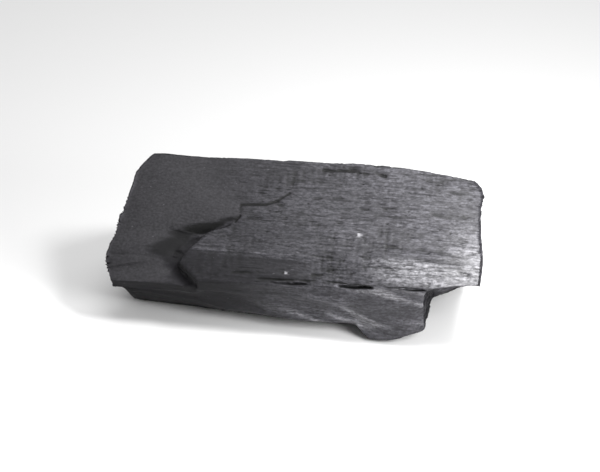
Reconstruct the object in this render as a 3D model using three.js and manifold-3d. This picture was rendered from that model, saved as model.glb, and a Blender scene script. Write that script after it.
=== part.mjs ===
// Lump of hardwood charcoal: a wedge split from a log, charred, and broken at both ends and along its front.
// Millimetres, +Z up, grain along X. The broad split face leans back and looks towards -Y and up. The lump
// lies on its split underside, and the log's rounded outside is its back. It formed as one piece, so it is
// one solid.

import * as THREE from "three";
import { ImprovedNoise } from "three/addons/math/ImprovedNoise.js";
import { mergeVertices } from "three/addons/utils/BufferGeometryUtils.js";
import Module from "manifold-3d";

const { clamp, degToRad, lerp, mapLinear, smoothstep } = THREE.MathUtils;

// Driving dimensions.
const LENGTH = 130; // end to end along the grain
const DEPTH = 58; // front arris to the back
const HEIGHT = 50; // floor to the top edge of the broad face

// Steps of the mesh: along the grain to the scar's wall, on to the notch's wall and on to the right end, then
// from front to back, and up the front. Each wall is one step wide.
const LEFT_STEPS = 13;
const MIDDLE_STEPS = 26;
const RIGHT_STEPS = 6;
const NOTCH_COLUMN = LEFT_STEPS + 1 + MIDDLE_STEPS;
const GRAIN_STEPS = NOTCH_COLUMN + 1 + RIGHT_STEPS;
const DEPTH_STEPS = 11;
const FLANK_ROWS = 6;
const BROW_ROWS = 2;
const FACE_ROWS = 15;
const HEIGHT_STEPS = FLANK_ROWS + BROW_ROWS + FACE_ROWS;

// The front has three bands: the flank, the blunt brow under the arris, and the broad face. These are where
// they meet, as shares of the way up.
const BROW_FROM = FLANK_ROWS / HEIGHT_STEPS;
const FACE_FROM = (FLANK_ROWS + BROW_ROWS) / HEIGHT_STEPS;
const onFace = (share) => FACE_FROM + share * (1 - FACE_FROM);

// The six edges that run along the lump, from left to right. Each is a list of [share of LENGTH, share of
// DEPTH from the front, share of HEIGHT from the floor]. The flank lies between foot and brow, the broad face
// between arris and top, and the log's outside between shoulder and heel. The foot dips to a lobe right of
// the middle, and runs far back right of the notch's wall, where a corner broke off.
const NOTCH_WALL = 46; // x
const NOTCH_WALL_RUN = 1.1;
const NOTCH_FROM = NOTCH_WALL / LENGTH + 0.5;
const NOTCH_TO = (NOTCH_WALL + NOTCH_WALL_RUN) / LENGTH + 0.5;
const FOOT = [
  [0, 0.16, 0.2], [0.26, 0.11, 0.19], [0.33, 0.1, 0.15], [0.43, 0.095, 0.137], [0.52, 0.086, 0.12],
  [0.6, 0.086, 0.126], [0.675, 0.086, 0.144], [0.7, 0.078, 0.04], [0.78, 0.07, 0.06],
  [NOTCH_FROM, 0.086, 0.15], [NOTCH_TO, 0.44, 0.22], [1, 0.74, 0.12],
];
const BROW = [
  [0, 0.07, 0.29], [0.24, 0.05, 0.33], [0.67, 0.045, 0.36], [0.71, 0.035, 0.34], [NOTCH_FROM, 0.05, 0.38],
  [NOTCH_TO, 0.1, 0.46], [1, 0.14, 0.52],
];
const ARRIS = [[0, 0.03, 0.41], [0.24, 0.01, 0.46], [0.51, 0.01, 0.5], [0.83, 0, 0.53], [1, 0.01, 0.59]];
const TOP = [
  [0, 0.61, 0.95], [0.1, 0.65, 0.98], [0.25, 0.67, 0.98], [0.5, 0.69, 1], [0.65, 0.69, 0.998],
  [0.75, 0.685, 0.99], [0.84, 0.675, 0.982], [0.92, 0.66, 0.972], [1, 0.63, 0.956],
];
const SHOULDER = [
  [0, 0.77, 0.81], [0.3, 0.83, 0.85], [0.55, 0.81, 0.86], [0.75, 0.84, 0.85], [1, 0.76, 0.81],
];
const HEEL = [
  [0, 0.88, 0.06], [0.2, 0.96, 0.01], [0.45, 1, 0], [0.7, 0.97, 0], [0.85, 0.99, 0.01], [1, 0.92, 0.06],
];
const BACK_BULGE = 5; // the log's outside swells by this much between shoulder and heel
const FLANK_HOLLOW = 1; // the flank is scooped by this much between foot and brow
const UNDERSIDE_RISE = 10; // the underside comes up to the foot and the heel over this distance

// Outlines of the broken ends, at the front and at the back: [share of the way up, x].
const LEFT_END = [
  [0, -58], [BROW_FROM, -62], [onFace(0), -62.7], [onFace(0.1), -65], [onFace(0.46), -62.3],
  [onFace(0.89), -58], [1, -52.5],
];
const LEFT_END_BACK = [[0, -54], [0.5, -58], [1, -51]];
const RIGHT_END = [
  [0, 57], [BROW_FROM, 63], [onFace(0), 65], [onFace(0.5), 63.7], [onFace(0.9), 63.5], [1, 59.5],
];
const RIGHT_END_BACK = [[0, 55], [0.5, 58.5], [1, 56]];

// The scar at the left of the broad face, where a flake came away: the x of its wall and its depth there,
// each by share of the way up the front. The wall fades out half-way up the face.
const SCAR_WALL = [
  [0, -33], [onFace(0), -32.5], [onFace(0.07), -36.2], [onFace(0.135), -39.2], [onFace(0.2), -37.4],
  [onFace(0.34), -33.6], [onFace(0.4), -31.3], [onFace(0.47), -22.5], [onFace(0.54), -19], [1, 0],
];
const SCAR_DEPTH = [
  [0, 0], [BROW_FROM, 2.2], [onFace(0), 4.2], [onFace(0.2), 5], [onFace(0.34), 4.8], [onFace(0.4), 4.2],
  [onFace(0.47), 1], [onFace(0.52), 0], [1, 0],
];
const SCAR_WALL_AT_BACK = -20; // where the mesh column that carries the wall ends behind
const SCAR_WALL_RUN = 1.1; // the wall leans by this much over its height
const SCAR_REACH = 9; // the hollow at the wall shallows over this distance
const SCAR_FAR_SHARE = 0.22; // depth left far from the wall, as a share of that at the wall

// The foot of the broad face turns down along a line, and lies flat again towards the right end.
const BEND_DEPTH = 2.4; // at the arris
const BEND_LINE = 0.23; // share of the way up the face
const BEND_FADES = [10, 34]; // x where it begins and ends to fade

// Relief of the broken wood: [height, length along the grain, length across it] of each layer of unevenness.
const SWELL = [1.3, 46, 15];
const SPLINTERS = [0.6, 30, 4.5];
const BARK_FURROWS = [1.6, 38, 9]; // on the back only
const END_CHIPS = [1.3, 12, 12]; // on the ends only

// Cracks: each is a slit from one point to another, cut inwards from a little outside the surface. It opens
// from a pointed start to its full width, at the middle or further on, and its sides close up inwards. Widths
// are those at the mouth of the cutter, and at the surface the crack is about half as wide.
const CRACK_CLEARANCE = 3; // a cutter starts this far outside the surface
const CRACK_CLOSING = 0.85; // share of the width that is lost at the bottom
const CRACK_WANDER_RATE = 0.6; // how quickly it wanders from step to step
const GRAIN_CRACK_STEPS = 12;
const GRAIN_CRACK_WANDER = 0.05; // sideways, as a share of the length
const ARRIS_CRACKS = [
  { start: [-8, 1.5, 23.4], end: [11, 1.5, 24.1], inward: [0, 1, -0.5], width: 1.8, depth: 5 },
  { start: [13, 1, 24.2], end: [32, 0, 25.7], inward: [0, 1, -0.5], width: 2, depth: 6 },
  { start: [34, 0, 25.9], end: [50, 0, 26.8], inward: [0, 1, -0.5], width: 1.8, depth: 4 },
];
const BACK_CRACKS = [
  { start: [-44, 60, 22], end: [8, 61, 16], inward: [0, -1, 0], width: 2.8, depth: 8 },
  { start: [8, 57, 34], end: [54, 55, 31], inward: [0, -1, -0.4], width: 2.6, depth: 8 },
];
const PITH = [-39, 0]; // y and z of the log's centre line, which the cracks of the ends point away from
const END_CRACK_STEPS = 7;
const END_CRACK_WANDER = 0.09;
const END_CRACK_WIDTH = 2.3;
const SPLIT = 0.62; // share of a whole slit, so that the crack runs out open through the log's outside
const WHOLE = 1;
// Each is [degrees up, radius of the start, radius of the end, depth, share of a whole slit].
const LEFT_END_CRACKS = [[26, 62, 102, 16, SPLIT], [13, 72, 103, 20, SPLIT], [20, 55, 79, 12, WHOLE]];
const RIGHT_END_CRACKS = [[22, 66, 102, 18, SPLIT], [9, 80, 103, 14, SPLIT], [29, 56, 84, 12, WHOLE]];

const noise = new ImprovedNoise();
const wasm = await Module();
wasm.setup();

// The value at a place in a table whose rows start with a place, straight between the rows.
function along(table, place, field = 1) {
  const next = table.findIndex((row) => row[0] >= place);
  if (next <= 0) return table.at(next)[field];
  const [before, after] = [table[next - 1], table[next]];
  return mapLinear(place, before[0], after[0], before[field], after[field]);
}

// The outline of the cross-section at x: four curves from 0 to 1, of points (y, z).
function outline(x) {
  const share = clamp(x / LENGTH + 0.5, 0, 1);
  const [foot, brow, arris, top, shoulder, heel] = [FOOT, BROW, ARRIS, TOP, SHOULDER, HEEL].map(
    (edge) => new THREE.Vector2(along(edge, share, 1) * DEPTH, along(edge, share, 2) * HEIGHT),
  );
  const between = (a, b, t) => a.clone().lerp(b, t);
  const bow = (t) => 4 * t * (1 - t);

  const front = (v) => {
    if (v > FACE_FROM) return between(arris, top, (v - FACE_FROM) / (1 - FACE_FROM));
    if (v > BROW_FROM) return between(brow, arris, (v - BROW_FROM) / (FACE_FROM - BROW_FROM));
    const point = between(foot, brow, v / BROW_FROM);
    point.x += FLANK_HOLLOW * bow(v / BROW_FROM);
    return point;
  };
  const back = (v) => {
    const point = between(heel, shoulder, v);
    point.x += BACK_BULGE * bow(v);
    return point;
  };
  const underside = (w) => {
    const point = between(foot, heel, w);
    const nearFoot = Math.max(1 - (point.x - foot.x) / UNDERSIDE_RISE, 0);
    const nearHeel = Math.max(1 - (heel.x - point.x) / UNDERSIDE_RISE, 0);
    point.y = nearFoot * foot.y + nearHeel * heel.y;
    return point;
  };
  const roof = (w) => between(top, shoulder, w);
  return { front, back, underside, roof };
}

// The point of the cross-section at x that is v of the way up and w of the way back: the four curves as one
// patch.
function sectionPoint(x, v, w) {
  const { front, back, underside, roof } = outline(x);
  const point = front(v).lerp(back(v), w);
  const upright = underside(w).lerp(roof(w), v);
  const low = front(0).lerp(back(0), w);
  const high = front(1).lerp(back(1), w);
  return point.add(upright).sub(low.lerp(high, v));
}

// Where a column of the mesh stands along the grain. On the front one column follows the scar's wall, and one
// the notch's.
function grainPlace(column, v, w) {
  const leftEnd = lerp(along(LEFT_END, v), along(LEFT_END_BACK, v), w);
  const rightEnd = lerp(along(RIGHT_END, v), along(RIGHT_END_BACK, v), w);
  const wall = lerp(along(SCAR_WALL, v), SCAR_WALL_AT_BACK, w);
  if (column <= LEFT_STEPS) return lerp(leftEnd, wall, column / LEFT_STEPS);
  if (column > NOTCH_COLUMN)
    return lerp(NOTCH_WALL + NOTCH_WALL_RUN, rightEnd, (column - NOTCH_COLUMN - 1) / RIGHT_STEPS);
  return lerp(wall + SCAR_WALL_RUN, NOTCH_WALL, (column - LEFT_STEPS - 1) / MIDDLE_STEPS);
}

// How far the front is sunk below its plain outline: by the scar left of its wall, and by the bend along the
// arris.
function frontSunk(column, x, v) {
  const fromWall = along(SCAR_WALL, v) - x;
  const hollow = lerp(SCAR_FAR_SHARE, 1, Math.exp(-fromWall / SCAR_REACH));
  const scar = column <= LEFT_STEPS ? along(SCAR_DEPTH, v) * hollow : 0;
  const upFace = Math.max(v - FACE_FROM, 0) / (1 - FACE_FROM);
  const bend = BEND_DEPTH * Math.max(1 - upFace / BEND_LINE, 0) * (1 - smoothstep(x, ...BEND_FADES));
  return scar + bend * smoothstep(v, BROW_FROM, FACE_FROM);
}

// The plain form of the lump: a box whose sides become the front, roof, back, underside and two broken ends.
function plainForm() {
  const box = new THREE.BoxGeometry(1, 1, 1, GRAIN_STEPS, DEPTH_STEPS, HEIGHT_STEPS);
  box.deleteAttribute("normal");
  box.deleteAttribute("uv");
  const form = mergeVertices(box);
  const { front } = outline(0);
  const face = front(1).sub(front(FACE_FROM)).normalize();
  const inward = new THREE.Vector2(face.y, -face.x);
  const position = form.getAttribute("position");
  for (let i = 0; i < position.count; i++) {
    const column = Math.round((position.getX(i) + 0.5) * GRAIN_STEPS);
    const w = position.getY(i) + 0.5;
    const v = position.getZ(i) + 0.5;
    const x = grainPlace(column, v, w);
    const point = sectionPoint(x, v, w);
    if (w === 0) point.addScaledVector(inward, frontSunk(column, x, v));
    position.setXYZ(i, x, point.x, point.y);
  }
  return form;
}

// One layer of unevenness at a point.
function unevenness([height, lengthAlong, lengthAcross], { x, y, z }, seed) {
  return height * noise.noise(x / lengthAlong + seed, y / lengthAcross + seed, z / lengthAcross - seed);
}

// Roughens the form along its normals, then presses what is under the floor flat, which gives the lump its
// rest.
function roughen(form) {
  form.computeVertexNormals();
  const position = form.getAttribute("position");
  const normal = form.getAttribute("normal");
  const point = new THREE.Vector3();
  const outward = new THREE.Vector3();
  for (let i = 0; i < position.count; i++) {
    point.fromBufferAttribute(position, i);
    outward.fromBufferAttribute(normal, i);
    const endOn = Math.abs(outward.x);
    const fibres = lerp(unevenness(SPLINTERS, point, 11), unevenness(END_CHIPS, point, 23), endOn);
    const bark = Math.max(outward.y, 0) * unevenness(BARK_FURROWS, point, 37);
    point.addScaledVector(outward, unevenness(SWELL, point, 3) + fibres + bark);
    position.setXYZ(i, point.x, point.y, Math.max(point.z, 0));
  }
  form.deleteAttribute("normal");
  return form;
}

// A closed geometry as a solid for cutting.
function solidOf(geometry) {
  const bare = geometry.clone();
  bare.deleteAttribute("normal");
  bare.deleteAttribute("uv");
  const merged = mergeVertices(bare);
  const vertProperties = merged.getAttribute("position").array;
  const triVerts = new Uint32Array(merged.index.array);
  return new wasm.Manifold(new wasm.Mesh({ numProp: 3, vertProperties, triVerts }));
}

// The cutter of one crack.
function crackCutter({ start, end, inward, width, depth, share = WHOLE }, steps, wander) {
  const from = new THREE.Vector3(...start);
  const run = new THREE.Vector3(...end).sub(from);
  const length = run.length();
  run.normalize();
  const down = new THREE.Vector3(...inward);
  down.addScaledVector(run, -down.dot(run)).normalize();
  const across = new THREE.Vector3().crossVectors(down, run);

  const stops = Array.from({ length: steps + 1 }, (_, i) => i / steps);
  const swell = (t) => Math.sin(Math.PI * share * t);
  const jog = (t) => noise.noise(from.x + CRACK_WANDER_RATE * t * steps, from.y + 0.5, from.z + 0.5);
  const side = (t, sign) =>
    new THREE.Vector2(t * length, swell(t) * (wander * length * jog(t) + (sign * width) / 2));
  const upper = stops.map((t) => side(t, 1));
  const lower = stops.slice(1, share < WHOLE ? undefined : -1).map((t) => side(t, -1));
  const slit = new THREE.Shape([...upper, ...lower.reverse()]);

  const reach = depth + CRACK_CLEARANCE;
  const cutter = new THREE.ExtrudeGeometry(slit, { depth: reach, bevelEnabled: false });
  const position = cutter.getAttribute("position");
  for (let i = 0; i < position.count; i++) {
    position.setY(i, position.getY(i) * (1 - (CRACK_CLOSING * position.getZ(i)) / reach));
  }
  const outside = from.addScaledVector(down, -CRACK_CLEARANCE);
  cutter.applyMatrix4(new THREE.Matrix4().makeBasis(run, across, down).setPosition(outside));
  return solidOf(cutter);
}

// The cutters of an end's cracks. Side is -1 for the left end and 1 for the right.
function endCrackCutters(side, cracks) {
  return cracks.map(([degrees, near, far, depth, share]) => {
    const angle = degToRad(degrees);
    const x = (side * LENGTH) / 2;
    const at = (radius) => [x, PITH[0] + radius * Math.cos(angle), PITH[1] + radius * Math.sin(angle)];
    const ends = { start: at(near), end: at(far), inward: [-side, 0, 0] };
    return crackCutter({ ...ends, width: END_CRACK_WIDTH, depth, share }, END_CRACK_STEPS, END_CRACK_WANDER);
  });
}

// The whole lump, with its origin at the middle of its footprint on the floor.
function lumpGeometry() {
  const grainCracks = [...ARRIS_CRACKS, ...BACK_CRACKS];
  const cutters = [
    ...grainCracks.map((crack) => crackCutter(crack, GRAIN_CRACK_STEPS, GRAIN_CRACK_WANDER)),
    ...endCrackCutters(-1, LEFT_END_CRACKS),
    ...endCrackCutters(1, RIGHT_END_CRACKS),
  ];
  const whole = solidOf(roughen(plainForm()));
  const cracked = cutters.reduce((body, cutter) => body.subtract(cutter), whole);
  const { vertProperties, triVerts } = cracked.getMesh();
  const geometry = new THREE.BufferGeometry();
  geometry.setAttribute("position", new THREE.BufferAttribute(vertProperties, 3));
  geometry.setIndex(new THREE.BufferAttribute(triVerts, 1));
  geometry.computeBoundingBox();
  const middle = geometry.boundingBox.getCenter(new THREE.Vector3());
  geometry.translate(-middle.x, -middle.y, 0);
  geometry.computeVertexNormals();
  return geometry;
}

const charcoal = new THREE.MeshStandardMaterial({ color: 0x3a3a3d, roughness: 0.62, metalness: 0 });
const lump = new THREE.Mesh(lumpGeometry(), charcoal);
lump.name = "charcoal_lump";

const part = new THREE.Group();
part.add(lump);

export default part;
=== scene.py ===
"""A lump of hardwood charcoal on a pale floor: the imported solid, dressed with its fine relief and finish."""

import math

import bmesh
import bpy
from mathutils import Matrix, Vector, noise
from mathutils.bvhtree import BVHTree


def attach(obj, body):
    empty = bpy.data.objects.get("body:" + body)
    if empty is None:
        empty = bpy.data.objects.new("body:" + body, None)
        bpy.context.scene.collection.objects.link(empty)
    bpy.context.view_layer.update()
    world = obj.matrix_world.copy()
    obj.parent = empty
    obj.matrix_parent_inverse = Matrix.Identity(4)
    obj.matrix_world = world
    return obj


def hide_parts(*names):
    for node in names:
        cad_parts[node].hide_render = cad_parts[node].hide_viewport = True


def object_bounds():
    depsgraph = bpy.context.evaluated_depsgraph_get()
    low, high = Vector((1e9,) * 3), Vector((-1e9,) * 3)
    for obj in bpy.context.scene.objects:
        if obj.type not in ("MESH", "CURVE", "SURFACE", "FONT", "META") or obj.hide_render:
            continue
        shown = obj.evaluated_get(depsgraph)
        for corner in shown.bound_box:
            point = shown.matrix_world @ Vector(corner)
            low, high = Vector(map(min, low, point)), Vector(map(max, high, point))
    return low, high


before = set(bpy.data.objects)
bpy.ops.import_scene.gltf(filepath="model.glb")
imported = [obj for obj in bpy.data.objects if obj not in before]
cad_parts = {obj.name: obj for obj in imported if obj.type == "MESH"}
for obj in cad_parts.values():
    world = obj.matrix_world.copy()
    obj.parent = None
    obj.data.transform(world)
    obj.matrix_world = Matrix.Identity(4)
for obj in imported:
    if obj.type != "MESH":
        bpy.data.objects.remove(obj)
cad_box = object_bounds()

MM = 0.001

# The fine mesh: steps across the grain, and how many times longer they are along it, as the relief is.
MESH_STEP = 0.3
MESH_STRETCH = 2.5
DOUBLES = 0.001  # points of the solid that are this near are one
SMOOTHING = 0.5  # how far a pass of smoothing moves a point to the middle of those beside it
SOFTENING_PASSES = 6  # rounds the facets and edges of the solid, as handling wears charcoal
WEAR = (0.05, 0.25)  # an edge that is rounded by this much begins to look worn, and is worn bare
TRIANGLES = 190000  # left after thinning out the flat places

# The solid's open cracks: what faces another wall this near is inside one. It has no relief and is painted in
# full shade, and beside it the relief fades in over this many steps of the mesh.
CRACK_SPAN = 1.8
CRACK_START = 0.05
CRACK_MARGIN = 5
# painted shade at its darkest, as inside an open crack
PAINTED_SHADE_FULL = 0.35

# Which side of the lump a point is on, by how far its surface is turned to that side: an end, the back, the
# broad face or the flank under it.
END_TURN = (0.5, 0.85)
BACK_TURN = (0.15, 0.5)
FACE_NORMAL = Vector((0, -0.53, 0.848))
FACE_TURN = (0.75, 0.92)
FLANK_TURN = (0.45, 0.8)

# Relief layers, in millimetres: (height or depth, length along the grain, length across it). A groove
# follows the zero lines of its noise, where the noise is within the groove's width of 0. Edges and gaps are
# the range of the noise over which something starts.
GRAIN = (0.08, 45, 1.9)
LINES = (0.28, 50, 1.4)
LINE_WIDTH = 0.16
LINE_BREAKS = (1, 4.5, 2)  # where the lines stop and start
LINE_GAPS = (0, 0.3)
FINE_LINES = (0.09, 40, 0.7)
FINE_LINE_WIDTH = 0.3
CROSS_CHECKS = (0.18, 1.3, 14)  # fine shrinkage cracks across the grain
CROSS_CHECK_WIDTH = 0.2
CHECK_PATCHES = (1, 20, 12)  # where they are
CHECK_PATCH_EDGE = (-0.15, 0.25)
PITS = (0.25, 1.3, 0.9)  # open pores
PIT_EDGE = (0.45, 0.7)
GRIT = (0.08, 1.2, 1.2)
SCOOPS = (0.9, 18, 9)  # shell-like hollows of the broken surfaces
CHIPS = (0.5, 5, 3.5)  # in the flake scar's hollow
CHIPS_START = (0.5, 1)  # how far inside the scar they begin
GRAIN_FADES = (-45, -5)  # x over which the grain lines of the broad face fade in
PLAIN_LOSS = 0.75  # how much of the grain is lost left of that, in the scar and on the flank
SCAR_LOSS = 0.8
FLANK_LOSS = 0.6

# The log's centre line, and the radius at which widths round the log are given.
PITH = (-68.7, 0)  # y and z
LOG_RADIUS = 75

# The log's outside: furrows, and rows of char blocks. Long cracks along the grain part the rows, and short
# ones across it part the blocks of a row.
FURROWS = (0.5, 40, 6)
FURROW_LEVEL = 0.3
ROW_STEP = 6
ROW_WANDER = (3, 45, 9)
ROW_CROWN = 0.4  # the rows' edges are rounded down by this much
CROWN_POWER = 3
LONG_CRACK_DEPTH = 1.1
LONG_CRACK_WIDTH = 0.7  # half of it, where it is widest
LONG_CRACK_RUN = 26  # along the grain, from where it opens to where it closes
LONG_CRACK_OPENS = (-0.1, 0.4)
LONG_CRACK_SPREAD = 7.3  # how far apart in the noise the cracks of two rows are
BLOCK_STEP = 12
BLOCK_SHIFT = 0.25  # how far off its even place a short crack may be, as a share of the step
SHORT_CRACK_SHARE = 0.7  # of the places where a row could crack across
SHORT_CRACK_DEPTH = 0.9
SHORT_CRACK_WIDTH = 0.55
SHORT_CRACK_TAPER = 0.7  # how much of it closes across its row
SHORT_CRACK_BEND = (1.8, 12, 5)
ROW_DRAW = (0.5, 0)  # the places in the noise where a row's start, a crack and a crack's shift are drawn
CRACK_DRAW = 3
SHIFT_DRAW = 9

# End grain: growth rings round the log's centre line, rays and cracks across the rings, and steps where
# bundles of fibres broke off at different heights. Lengths are along a ray, and across it.
RING_STEP = 2.3
RING_DEPTH = 0.1
RING_WANDER = (2.2, 9, 9)
RAYS = (0.12, 30, 1.3)
RAY_WIDTH = 0.25
RAY_CRACKS = (0.6, 45, 5)
RAY_CRACK_WIDTH = 0.07
RAY_BREAKS = (1, 10, 5)  # where they stop and start
RAY_GAPS = (-0.1, 0.25)
STEPS = [(0.7, 12, 5), (0.35, 5, 2.5)]
STEP_EDGE = (-0.05, 0.05)
FACE_PLANE = 36.5  # height of the broad face above the origin, along its normal
RIM = (0.3, 2.5)  # depth under that plane over which the relief of the ends fades in

# The flake scar in the broad face. Routes on the face are (x, z).
SCAR_WALL = [
    (-33, 22), (-36.5, 25), (-39.2, 26.5), (-37.3, 28.1), (-35.5, 30), (-33.5, 31.9), (-31.3, 33.5),
    (-23, 35.1), (-19, 36.8),
]
SCAR_EDGE = 1  # half the width over which the scar begins at its wall
SCAR_EDGE_SPREAD = 2.5  # and how much wider that is for each millimetre above the wall's top
SCAR_HOLLOW = ((13, 29), (4.5, 34.5))  # widths of the chipped hollow along the wall, which is painted in shadow, each with its z
SCAR_FRAY = (0.6, 14, 1.7)  # how its far side frays along the grain
SCAR_TOP = (37.5, 36)  # z over which the hollow ends
SCAR_STEEP = (4, 2.5)  # distance over which what is steep counts as the wall, which is painted in shadow
SCAR_SHADE = (22, 27)  # z over which the hollow and the wall darken with painted shadow
SCAR_PAINTED_SHADOW = 0.25  # and how dark that painted shadow is
SCAR_FLOOR = 2.5  # distance from the wall at which the scar is smoothed further
SCAR_FLOOR_TURN = 0.6  # how far such a place is turned to the broad face
SCAR_PASSES = 120
SCAR_POLISH = 0.15

# What else the broad face has in one place only: the stepped crack that goes on from the scar, the lip along
# the line where the face turns down, a split under the top edge, cracks in dashes along the arris and near
# the lower right corner, that corner, worn down, and specks of ash.
STEPPED_CRACK = [(-21, 35.6), (-19.4, 37), (-19.8, 39.4), (-11.2, 39.8), (-7.4, 40.8), (-3.4, 42.7)]
STEPPED_CRACK_DEPTH = 0.5
STEPPED_CRACK_WIDTH = 0.4
LIP = [(-34, 29.6), (-14, 29.9), (8, 30.4)]
LIP_HEIGHT = 0.35
LIP_WIDTH = 0.7
TOP_SPLIT = [(7, 48.2), (17, 48.9), (29, 48.2)]
TOP_SPLIT_DEPTH = 0.5
TOP_SPLIT_WIDTH = 0.7
TOP_SPLIT_GAPS = (-0.2, 0.3)
DASHED_CRACKS = [  # depth, half width and route
    (0.5, 0.5, [(-10, 23.7), (11, 24.3), (32, 25.8), (50, 26.8)]),
    (0.4, 0.4, [(-19, 24.6), (-15, 25.2), (-11, 24.9)]),
    (0.4, 0.4, [(8, 25.9), (25, 26.6)]),
    (0.2, 0.35, [(37, 34), (57, 34.3)]),
    (0.2, 0.35, [(41, 32.6), (57, 33)]),
]
DASH_GAPS = (-0.2, 0.2)
CORNER_DROOP = (40, 65, 1.6)  # x from and to, and how far the corner there is worn down
ASH_SPECKS = [(22.3, 35.9, 0.7), (-1, 25.8, 0.5), (3, 25.6, 0.4), (46, 31.6, 0.5)]  # x, z and radius

# How burnished the wood is, and how much painted light it has, from 0 to 1: it makes the wood less rough and
# lighter. On the broad face it rises along the grain, painted light that grows to the right, and more so at
# the lower right, a painted sheen; the lip has a painted highlight. The strip under the lip is matt and
# painted in shade, and the flank is painted lighter to the right, with slanting strokes of painted reflection.
LEFT_POLISH = 0.15
POLISH_AND_LIGHT_RISES = [(0.13, -45, -28), (0.32, -25, 45)]  # by how much, and x from and to: painted light that grows to the right
# the lip's polish and its painted highlight
LIP_POLISH_AND_HIGHLIGHT = 0.58
STRIP_DROP = 1  # z over which the strip begins under the lip
STRIP_ENDS = (-2, 14)  # x over which it ends
# how much of its polish and painted light the strip loses, and how dark its painted shade is
STRIP_LOSS = 0.65
STRIP_PAINTED_SHADE = 0.08
SHEEN_BAND = ((12, 54), (33, 31.2))  # x and z over which the painted sheen band along the arris begins
SHEEN_RIM = ((47, 64), (43, 33))  # and the painted sheen up the right rim beside it
SHEEN_FOOT = (26, 28.5)  # z over which both end, at the arris
SHEEN_POLISH = 0.4
SWOOSHES = (1, 16, 4)  # strokes of painted reflection on the flank
SWOOSH_SLOPE = 0.35  # how far they fall for each step along the grain
SWOOSH_EDGE = (-0.1, 0.4)
SWOOSH_STARTS = (-30, 10)  # x over which the flank is painted lighter, and its strokes begin
SWOOSH_POLISH_AND_REFLECTION = (0.36, 0.82)  # between the strokes, and on them
FLANK_PAINTED_SHADE = 0.16  # painted shade on the flank where they have not begun

# The finish. The mesh carries how much painted shade, how much polish and painted light, how dusty, how worn
# and how ashy each point is. Speckles are noise: (length along the grain, length across it, detail). Each coat
# follows one of these guides, over a range of it and with a share that runs between two values over that
# range.
SURFACE_LAYERS = ("painted_shade", "polish_and_painted_light", "dust", "wear", "ash")
SPECKLES = {
    "streaks": (16, 0.9, 4),
    "dashes": (2, 0.75, 2),
    "patches": (20, 9, 3),
    "grit": (0.9, 0.7, 2),
    "flecks": (1.6, 0.8, 1),
}
SPECKLE_ROUGHNESS = 0.6
BARE_CHAR = "#1b191e"
COATS = [
    ("polish_and_painted_light", (0, 0.6), (0, 1), "#626167"),  # polished grain, with painted light that grows to the right, a painted highlight on the lip and painted reflections on the flank
    ("polish_and_painted_light", (0.6, 1), (0, 1), "#a7a6ab"),  # burnished grain: painted sheen at the lower right and painted reflections on the flank's strokes
    ("patches", (0.35, 0.6), (0.35, 0), "#151419"),  # duller areas
    ("streaks", (0.32, 0.6), (0.58, 0), "#151419"),  # dark wood between the fibres
    ("dashes", (0.36, 0.6), (0.7, 0), "#151419"),  # open vessels
    ("dust", (0, 1), (0, 0.7), "#373639"),
    ("grit", (0.3, 0.7), (0.55, 0), "#101011"),
    ("wear", (0, 1), (0, 0.5), "#4c4b50"),  # rubbed edges
    ("flecks", (0.74, 0.8), (0, 0.3), "#6c6b70"),  # char dust
    # painted shade in grooves and cracks, in the scar's hollow and on its wall, under the lip and on the
    # flank's left
    ("painted_shade", (0.02, PAINTED_SHADE_FULL), (0, 1), "#0b0b0c"),
    ("ash", (0, 0.7), (0, 1), "#939296"),
]
MATT_ROUGHNESS = (0.76, 0.88)
GLOSSY_ROUGHNESS = (0.34, 0.46)
ROUGHNESS_PATCHES = (0.3, 0.7)  # range of the patches over which the roughness changes
SPECULAR_LEVEL = 0.25
CHAR_IOR = 1.55
FIBRE_BUMP = (0.35, 0.25)  # strength and height
GRIT_BUMP = (0.3, 0.12)

# The studio, in metres and watts: a floor, square lights and an even sky.
FLOOR_SIZE = 3
FLOOR_WHITE = "#ececec"
FLOOR_ROUGHNESS = 0.9
LIGHTS = {  # place, target, size and power
    "key": ((0.13, -0.12, 0.11), (0.05, -0.015, 0.02), 0.07, 0.4),
    "sheen": ((0.085, -0.045, 0.20), (0.05, -0.015, 0.03), 0.05, 0.42),
    "top": ((0.1, 0.1, 0.9), (0, 0, 0), 0.6, 5),
}
SKY_WHITE = "#ffffff"
SKY_STRENGTH = 0.33

# Camera: the viewing angle in degrees, and how much of the picture's width the lump takes.
AZIMUTH = 8.5
ELEVATION = 32
LENS = 110
SENSOR = 36
CLIP_START = 0.01
LUMP_SHARE = 0.62


def linear(colour):
    """An sRGB hex colour as linear RGBA."""
    channels = [int(colour[i:i + 2], 16) / 255 for i in (1, 3, 5)]
    return [c / 12.92 if c <= 0.04045 else ((c + 0.055) / 1.055) ** 2.4 for c in channels] + [1]


def smoothstep(low, high, value):
    share = min(max((value - low) / (high - low), 0), 1)
    return share * share * (3 - 2 * share)


def blend(first, second, share):
    return first + (second - first) * share


def layer_noise(layer, p, seed=0):
    """Noise from -1 to 1, stretched along the grain as the layer says. A seed tells two uses apart."""
    _, along, across = layer
    return noise.noise(Vector((p.x / along + seed, p.y / across, p.z / across)))


def groove(layer, p, width, seed=0):
    """The depth of a layer's grooves at a point."""
    return layer[0] * max(1 - abs(layer_noise(layer, p, seed)) / width, 0)


def route_distance(route, p):
    """Distance of a point of the broad face from a route on it."""
    point = Vector((p.x, p.z))
    nearest = math.inf
    for first, second in zip(route, route[1:]):
        start = Vector(first)
        run = Vector(second) - start
        share = min(max((point - start).dot(run) / run.length_squared, 0), 1)
        nearest = min(nearest, (point - start - run * share).length)
    return nearest


def route_ridge(route, p, height, width):
    """The height at a point of a ridge that follows a route on the broad face."""
    return height * max(1 - route_distance(route, p) / width, 0)


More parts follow.
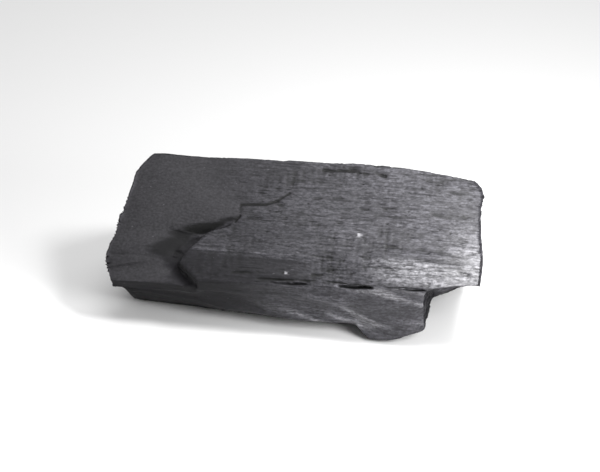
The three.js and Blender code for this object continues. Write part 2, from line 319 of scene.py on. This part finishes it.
def scar_edge(z):
    """Where along the grain the wall of the flake scar stands, at a height."""
    edge = SCAR_WALL[-1][0] if z > SCAR_WALL[0][1] else SCAR_WALL[0][0]
    for (x0, z0), (x1, z1) in zip(SCAR_WALL, SCAR_WALL[1:]):
        if z0 <= z <= z1:
            edge = blend(x0, x1, (z - z0) / (z1 - z0))
    return edge


def in_scar(p):
    """How far a point of the broad face lies inside the flake scar, from 0 to 1."""
    edge = scar_edge(p.z)
    above = max(p.z - SCAR_WALL[-1][1], 0)
    softness = SCAR_EDGE + SCAR_EDGE_SPREAD * above
    return 1 - smoothstep(edge - softness, edge + softness, p.x)


def scar_hollow(p):
    """How deep in the hollow along the scar's wall a point of the broad face lies, from 0 to 1; the hollow is
    chipped, and painted in shadow.
    """
    (low_width, low), (high_width, high) = SCAR_HOLLOW
    width = blend(low_width, high_width, smoothstep(low, high, p.z))
    width *= 1 + SCAR_FRAY[0] * layer_noise(SCAR_FRAY, p, seed=47)
    return in_scar(p) * smoothstep(*SCAR_TOP, p.z) * smoothstep(width, width / 2, scar_edge(p.z) - p.x)


def split_grain(p):
    """Height of the split wood's grain, and the depth of the grooves in it."""
    breaks = smoothstep(*LINE_GAPS, layer_noise(LINE_BREAKS, p, seed=13))
    patches = smoothstep(*CHECK_PATCH_EDGE, layer_noise(CHECK_PATCHES, p, seed=2))
    lines = groove(LINES, p, LINE_WIDTH, seed=9) * breaks + groove(FINE_LINES, p, FINE_LINE_WIDTH, seed=19)
    checks = groove(CROSS_CHECKS, p, CROSS_CHECK_WIDTH, seed=17) * patches
    pits = PITS[0] * smoothstep(*PIT_EDGE, layer_noise(PITS, p, seed=27))
    grooves = lines + checks + pits
    return GRAIN[0] * layer_noise(GRAIN, p) - grooves, grooves


def log_place(p):
    """Distance of a point from the log's centre line, and how far round the log it is."""
    y, z = p.y - PITH[0], p.z - PITH[1]
    return math.hypot(y, z), math.atan2(z, y) * LOG_RADIUS


def log_outside(p):
    """Height of the furrowed outside of the log, and the depth of the cracks that part its char in blocks."""
    row_place = (log_place(p)[1] + ROW_WANDER[0] * layer_noise(ROW_WANDER, p, seed=51)) / ROW_STEP
    line = round(row_place)
    along_line = Vector((p.x / LONG_CRACK_RUN, LONG_CRACK_SPREAD * line, 0))
    opening = smoothstep(*LONG_CRACK_OPENS, noise.noise(along_line))
    to_line = abs(row_place - line)
    crack = LONG_CRACK_DEPTH * max(opening - to_line * ROW_STEP / LONG_CRACK_WIDTH, 0)

    row = math.floor(row_place)
    bent = p.x + SHORT_CRACK_BEND[0] * layer_noise(SHORT_CRACK_BEND, p, seed=43)
    block_place = bent / BLOCK_STEP + noise.cell(Vector((row, *ROW_DRAW)))
    block = round(block_place)
    if noise.cell(Vector((row, block, CRACK_DRAW))) < 2 * SHORT_CRACK_SHARE - 1:
        shift = BLOCK_SHIFT * noise.cell(Vector((row, block, SHIFT_DRAW)))
        to_crack = abs(block_place - block - shift) * BLOCK_STEP
        narrowing = 1 - SHORT_CRACK_TAPER * abs(row_place - row - (block % 2))
        crack = max(crack, SHORT_CRACK_DEPTH * max(narrowing - to_crack / SHORT_CRACK_WIDTH, 0))
    furrow = FURROWS[0] * (abs(layer_noise(FURROWS, p, seed=31)) - FURROW_LEVEL)
    return furrow - ROW_CROWN * (1 - 2 * to_line) ** CROWN_POWER - crack, crack


def end_grain(p):
    """Height of an end's growth rings and broken fibres, and the depth of the cracks across the rings."""
    radius, round_log = log_place(p)
    radius += RING_WANDER[0] * layer_noise(RING_WANDER, p)
    place = Vector((radius, round_log, 0))
    ring = RING_DEPTH * math.sin(2 * math.pi * radius / RING_STEP)
    crack = groove(RAY_CRACKS, place, RAY_CRACK_WIDTH, seed=5)
    crack *= smoothstep(*RAY_GAPS, layer_noise(RAY_BREAKS, place, seed=15))
    crack += groove(RAYS, place, RAY_WIDTH, seed=25)
    steps = sum(step[0] * smoothstep(*STEP_EDGE, layer_noise(step, place, seed=61)) for step in STEPS)
    under_face = smoothstep(*RIM, FACE_PLANE - p.dot(FACE_NORMAL))
    return (ring - crack - steps) * under_face, crack * under_face


def face_features(p):
    """Height of what the broad face has in one place only, and the depth of the cracks among it."""
    step = route_ridge(STEPPED_CRACK, p, STEPPED_CRACK_DEPTH, STEPPED_CRACK_WIDTH)
    split = route_ridge(TOP_SPLIT, p, TOP_SPLIT_DEPTH, TOP_SPLIT_WIDTH)
    split *= smoothstep(*TOP_SPLIT_GAPS, layer_noise(LINE_BREAKS, p, seed=5))
    start, stop, drop = CORNER_DROOP
    droop = drop * max((p.x - start) / (stop - start), 0) ** 2
    return -droop - step - split, step + split


def ash(p):
    """How much ash lies on a point of the broad face."""
    return max(smoothstep(radius, 0, math.hypot(p.x - x, p.z - z)) for x, z, radius in ASH_SPECKS)


def relief(p, normal):
    """Height of the fine relief at a point, how much painted shade it has, how burnished it is and how much
    painted light it has, and how dusty it is.
    """
    end = smoothstep(*END_TURN, abs(normal.x))
    back = smoothstep(*BACK_TURN, normal.y)
    face = smoothstep(*FACE_TURN, normal.dot(FACE_NORMAL))
    flank = smoothstep(*FLANK_TURN, -normal.y) * (1 - face)
    scar = in_scar(p) * face
    plain = face * (1 - smoothstep(*GRAIN_FADES, p.x))
    slanted = p + Vector((0, 0, SWOOSH_SLOPE * p.x)) if flank > 0 else p
    grit = GRIT[0] * layer_noise(GRIT, p, seed=3)

    # Grain, and what the front sides have besides.
    height, painted_shade = split_grain(p)
    shown = 1 - max(SCAR_LOSS * scar, FLANK_LOSS * flank, PLAIN_LOSS * plain)
    height = height * shown + SCOOPS[0] * layer_noise(SCOOPS, slanted, seed=21) * max(scar, flank)
    painted_shade *= shown
    hollow = 0
    wall = 0
    lip = 0
    if normal.y < 0:
        hollow = scar_hollow(p) * (1 - flank)
        wall = (1 - face) * smoothstep(*SCAR_STEEP, route_distance(SCAR_WALL, p))
        chips = CHIPS[0] * layer_noise(CHIPS, p, seed=41) * smoothstep(*CHIPS_START, scar) * hollow
        dashes = max(route_ridge(route, p, depth, width) for depth, width, route in DASHED_CRACKS)
        dashes *= smoothstep(*DASH_GAPS, layer_noise(LINE_BREAKS, p, seed=35))
        height += chips - dashes
        painted_shade += dashes
    if face > 0:
        lip = route_ridge(LIP, p, 1, LIP_WIDTH)
        feature, crack = face_features(p)
        height += (feature + LIP_HEIGHT * lip) * face
        painted_shade += crack * face

    # The back and the ends.
    if back > 0:
        outside, crack = log_outside(p)
        height += outside * back
        painted_shade += crack * back
    if end > 0:
        rings, crack = end_grain(p)
        height = blend(height, rings + grit, end)
        painted_shade = blend(painted_shade, crack, end)

    # The finish that goes with them: polish, painted light and painted sheen, and painted shade.
    # a painted sheen band along the arris and up the right rim
    sheen = max(smoothstep(*x, p.x) * smoothstep(*z, p.z) for x, z in (SHEEN_BAND, SHEEN_RIM))
    sheen *= smoothstep(*SHEEN_FOOT, p.z)
    # the strip under the lip, matt and painted in shade
    shaded_strip = smoothstep(LIP[0][1], LIP[0][1] - STRIP_DROP, p.z) * (1 - smoothstep(*STRIP_ENDS, p.x))
    # polish with painted light that grows to the right, and a painted highlight on the lip
    polish_and_painted_light = LEFT_POLISH + sum(rise * smoothstep(low, high, p.x) for rise, low, high in POLISH_AND_LIGHT_RISES)
    polish_and_painted_light = max(polish_and_painted_light * (1 - STRIP_LOSS * shaded_strip), LIP_POLISH_AND_HIGHLIGHT * lip) + SHEEN_POLISH * sheen
    # in the scar the wood is matt, and darker still in the hollow's painted shadow
    polish_and_painted_light = face * blend(polish_and_painted_light, SCAR_POLISH * (1 - hollow), scar)
    # the flank: strokes of painted reflection, and painted lighter to the right
    strokes = smoothstep(*SWOOSH_EDGE, layer_noise(SWOOSHES, slanted, seed=71))
    flank_lit = smoothstep(*SWOOSH_STARTS, p.x)
    polish_and_painted_light += blend(*SWOOSH_POLISH_AND_REFLECTION, strokes) * flank * flank_lit
    polish_and_painted_light *= 1 - end
    # painted shadow in the scar's hollow and on its wall, and painted shade under the lip and on the flank's
    # left
    painted_shade += SCAR_PAINTED_SHADOW * max(hollow, wall) * smoothstep(*SCAR_SHADE, p.z)
    painted_shade += max(STRIP_PAINTED_SHADE * shaded_strip * face * (1 - scar), FLANK_PAINTED_SHADE * flank * (1 - flank_lit))
    return height + grit, painted_shade, polish_and_painted_light, face * scar * (1 - hollow)


def evaluated_mesh(piece):
    """The mesh of a piece with its modifiers applied."""
    graph = bpy.context.evaluated_depsgraph_get()
    return bpy.data.meshes.new_from_object(piece.evaluated_get(graph))


def add_piece(name, mesh):
    piece = bpy.data.objects.new(name, mesh)
    bpy.context.scene.collection.objects.link(piece)
    return piece


def fine_mesh(node):
    """The solid's surface in even small steps, longer along the grain."""
    shape = bmesh.new()
    shape.from_mesh(node.data)
    bmesh.ops.remove_doubles(shape, verts=shape.verts, dist=DOUBLES * MM)
    bmesh.ops.scale(shape, verts=shape.verts, vec=(1 / MESH_STRETCH, 1, 1))
    coarse = bpy.data.meshes.new("charcoal_coarse")
    shape.to_mesh(coarse)
    shape.free()
    draft = add_piece("charcoal_draft", coarse)
    remesh = draft.modifiers.new("fine steps", "REMESH")
    remesh.mode = "VOXEL"
    remesh.voxel_size = MESH_STEP * MM
    mesh = evaluated_mesh(draft)
    bpy.data.objects.remove(draft)
    return mesh


def exposure(shape):
    """How far out of the solid's open cracks each point of the mesh is, from 0 to 1."""
    shape.verts.index_update()
    tree = BVHTree.FromBMesh(shape)
    shares = [1] * len(shape.verts)
    ring = []
    for vert in shape.verts:
        if tree.ray_cast(vert.co + vert.normal * CRACK_START * MM, vert.normal, CRACK_SPAN * MM)[0]:
            ring.append(vert)
    for step in range(CRACK_MARGIN):
        for vert in ring:
            shares[vert.index] = step / CRACK_MARGIN
        beside = {edge.other_vert(vert) for vert in ring for edge in vert.link_edges}
        ring = [vert for vert in beside if shares[vert.index] == 1]
    return shares


def smooth(shape, points, passes):
    """Moves points of a mesh towards the middle of those beside them, again and again."""
    for _ in range(passes):
        bmesh.ops.smooth_vert(
            shape, verts=points, factor=SMOOTHING, use_axis_x=True, use_axis_y=True, use_axis_z=True)


def scar_floor(shape):
    """The points of the mesh on the flake scar's floor, away from its wall."""
    turned = [vert for vert in shape.verts if vert.normal.dot(FACE_NORMAL) > SCAR_FLOOR_TURN]
    inside = [vert for vert in turned if in_scar(vert.co / MM) == 1]
    return [vert for vert in inside if route_distance(SCAR_WALL, vert.co / MM) > SCAR_FLOOR]


def detailed_lump(node):
    """A copy of the solid with its fine relief."""
    mesh = fine_mesh(node)
    shape = bmesh.new()
    shape.from_mesh(mesh)
    bmesh.ops.scale(shape, verts=shape.verts, vec=(MESH_STRETCH, 1, 1))
    before = [vert.co.copy() for vert in shape.verts]
    smooth(shape, shape.verts, SOFTENING_PASSES)
    worn = [(sharp - vert.co).dot(vert.normal) / MM for vert, sharp in zip(shape.verts, before)]
    smooth(shape, scar_floor(shape), SCAR_PASSES)
    shape.normal_update()
    layers = [shape.verts.layers.float.new(name) for name in SURFACE_LAYERS]
    for vert, rounding, open_share in zip(shape.verts, worn, exposure(shape)):
        height, painted_shade, polish_and_painted_light, dust = relief(vert.co / MM, vert.normal)
        # inside an open crack: painted shade at its darkest
        if open_share == 0:
            painted_shade = PAINTED_SHADE_FULL
        wear = smoothstep(*WEAR, rounding) * open_share
        ashes = ash(vert.co / MM) if vert.normal.y < 0 else 0
        for layer, value in zip(layers, (painted_shade, polish_and_painted_light, dust, wear, ashes)):
            vert[layer] = value
        vert.co += vert.normal * height * open_share * MM
        vert.co.z = max(vert.co.z, 0)
    for face in shape.faces:
        face.smooth = True
    shape.to_mesh(mesh)
    shape.free()
    mesh.materials.clear()
    piece = add_piece("charcoal", mesh)
    thin = piece.modifiers.new("thin", "DECIMATE")
    thin.ratio = TRIANGLES / sum(len(face.vertices) - 2 for face in mesh.polygons)
    piece.data = evaluated_mesh(piece)
    piece.modifiers.clear()
    return piece


def add_node(tree, kind, output, settings, inputs):
    """Adds a node with its settings, and values or other nodes' outputs on its inputs. Gives an output."""
    made = tree.nodes.new(kind)
    for name, value in settings.items():
        setattr(made, name, value)
    sockets = {socket.identifier: socket for socket in made.inputs}
    for name, value in inputs.items():
        if isinstance(value, bpy.types.NodeSocket):
            tree.links.new(value, sockets[name])
        else:
            sockets[name].default_value = value
    return {socket.identifier: socket for socket in made.outputs}[output]


def charcoal_material():
    """Hardwood charcoal, charred and split: black and matt where it broke, and grey with a soft sheen on the
    split grain, where hands and other lumps burnished it; the grey is partly painted light and painted sheen,
    and painted shade darkens its cracks, the flake scar, the strip under the lip and the flank's left."""
    material = bpy.data.materials.new("hardwood_charcoal_split")
    material.use_nodes = True
    tree = material.node_tree
    shader = tree.nodes["Principled BSDF"]
    place = add_node(tree, "ShaderNodeTexCoord", "Object", {}, {})
    guides = {}
    for name in SURFACE_LAYERS:
        guides[name] = add_node(tree, "ShaderNodeAttribute", "Fac", {"attribute_name": name}, {})
    for name, (along, across, detail) in SPECKLES.items():
        scale = (1 / (along * MM), 1 / (across * MM), 1 / (across * MM))
        stretched = add_node(tree, "ShaderNodeMapping", "Vector", {}, {"Vector": place, "Scale": scale})
        inputs = {"Vector": stretched, "Scale": 1, "Detail": detail, "Roughness": SPECKLE_ROUGHNESS}
        guides[name] = add_node(tree, "ShaderNodeTexNoise", "Fac", {}, inputs)

    colour = linear(BARE_CHAR)
    for guide, (low, high), (least, most), tint in COATS:
        inputs = {"Value": guides[guide], "From Min": low, "From Max": high, "To Min": least, "To Max": most}
        share = add_node(tree, "ShaderNodeMapRange", "Result", {}, inputs)
        inputs = {"Factor_Float": share, "A_Color": colour, "B_Color": linear(tint)}
        colour = add_node(tree, "ShaderNodeMix", "Result_Color", {"data_type": "RGBA"}, inputs)
    tree.links.new(colour, shader.inputs["Base Color"])

    ends = []
    low, high = ROUGHNESS_PATCHES
    for least, most in (MATT_ROUGHNESS, GLOSSY_ROUGHNESS):
        inputs = {
            "Value": guides["patches"], "From Min": low, "From Max": high, "To Min": least, "To Max": most,
        }
        ends.append(add_node(tree, "ShaderNodeMapRange", "Result", {}, inputs))
    inputs = {"Factor_Float": guides["polish_and_painted_light"], "A_Float": ends[0], "B_Float": ends[1]}
    roughness = add_node(tree, "ShaderNodeMix", "Result_Float", {"data_type": "FLOAT"}, inputs)
    tree.links.new(roughness, shader.inputs["Roughness"])
    shader.inputs["Specular IOR Level"].default_value = SPECULAR_LEVEL
    shader.inputs["IOR"].default_value = CHAR_IOR

    strength, depth = FIBRE_BUMP
    inputs = {"Height": guides["streaks"], "Strength": strength, "Distance": depth * MM}
    fibres = add_node(tree, "ShaderNodeBump", "Normal", {}, inputs)
    strength, depth = GRIT_BUMP
    inputs = {"Height": guides["grit"], "Normal": fibres, "Strength": strength, "Distance": depth * MM}
    tree.links.new(add_node(tree, "ShaderNodeBump", "Normal", {}, inputs), shader.inputs["Normal"])
    return material


def pale_floor():
    """A wide floor of matt white card."""
    shape = bmesh.new()
    bmesh.ops.create_grid(shape, x_segments=1, y_segments=1, size=FLOOR_SIZE)
    mesh = bpy.data.meshes.new("floor")
    shape.to_mesh(mesh)
    shape.free()
    material = bpy.data.materials.new("white_card_matt")
    material.use_nodes = True
    shader = material.node_tree.nodes["Principled BSDF"]
    shader.inputs["Base Color"].default_value = linear(FLOOR_WHITE)
    shader.inputs["Roughness"].default_value = FLOOR_ROUGHNESS
    mesh.materials.append(material)
    return add_piece("floor", mesh)


def aim(thing, place, target):
    """Puts a camera or light at a place and turns it to a target."""
    thing.location = place
    thing.rotation_euler = (Vector(target) - Vector(place)).to_track_quat("-Z", "Y").to_euler()


def softbox(name, place, target, size, power):
    """A square studio light."""
    data = bpy.data.lights.new(name, "AREA")
    data.size = size
    data.energy = power
    light = add_piece(name, data)
    light.visible_camera = False
    aim(light, place, target)


def add_camera(box):
    """A camera at the photo's viewing angle, aimed at the middle of a box."""
    low, high = Vector(box[0]), Vector(box[1])
    target = (low + high) / 2
    distance = (high.x - low.x) / LUMP_SHARE * LENS / SENSOR
    azimuth, elevation = math.radians(AZIMUTH), math.radians(ELEVATION)
    level = Vector((math.sin(azimuth), -math.cos(azimuth), 0)) * math.cos(elevation)
    data = bpy.data.cameras.new("camera")
    data.lens = LENS
    data.sensor_width = SENSOR
    data.clip_start = CLIP_START
    camera = add_piece("camera", data)
    aim(camera, target + (level + Vector((0, 0, math.sin(elevation)))) * distance, target)
    bpy.context.scene.camera = camera


lump = detailed_lump(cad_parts["charcoal_lump"])
lump.data.materials.append(charcoal_material())
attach(lump, "root")
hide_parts("charcoal_lump")

pale_floor()

for name, (place, target, size, power) in LIGHTS.items():
    softbox(name, place, target, size, power)

world = bpy.data.worlds.new("studio")
world.use_nodes = True
sky = world.node_tree.nodes["Background"]
sky.inputs["Color"].default_value = linear(SKY_WHITE)
sky.inputs["Strength"].default_value = SKY_STRENGTH
bpy.context.scene.world = world
bpy.context.scene.view_settings.view_transform = "Standard"

add_camera(cad_box)
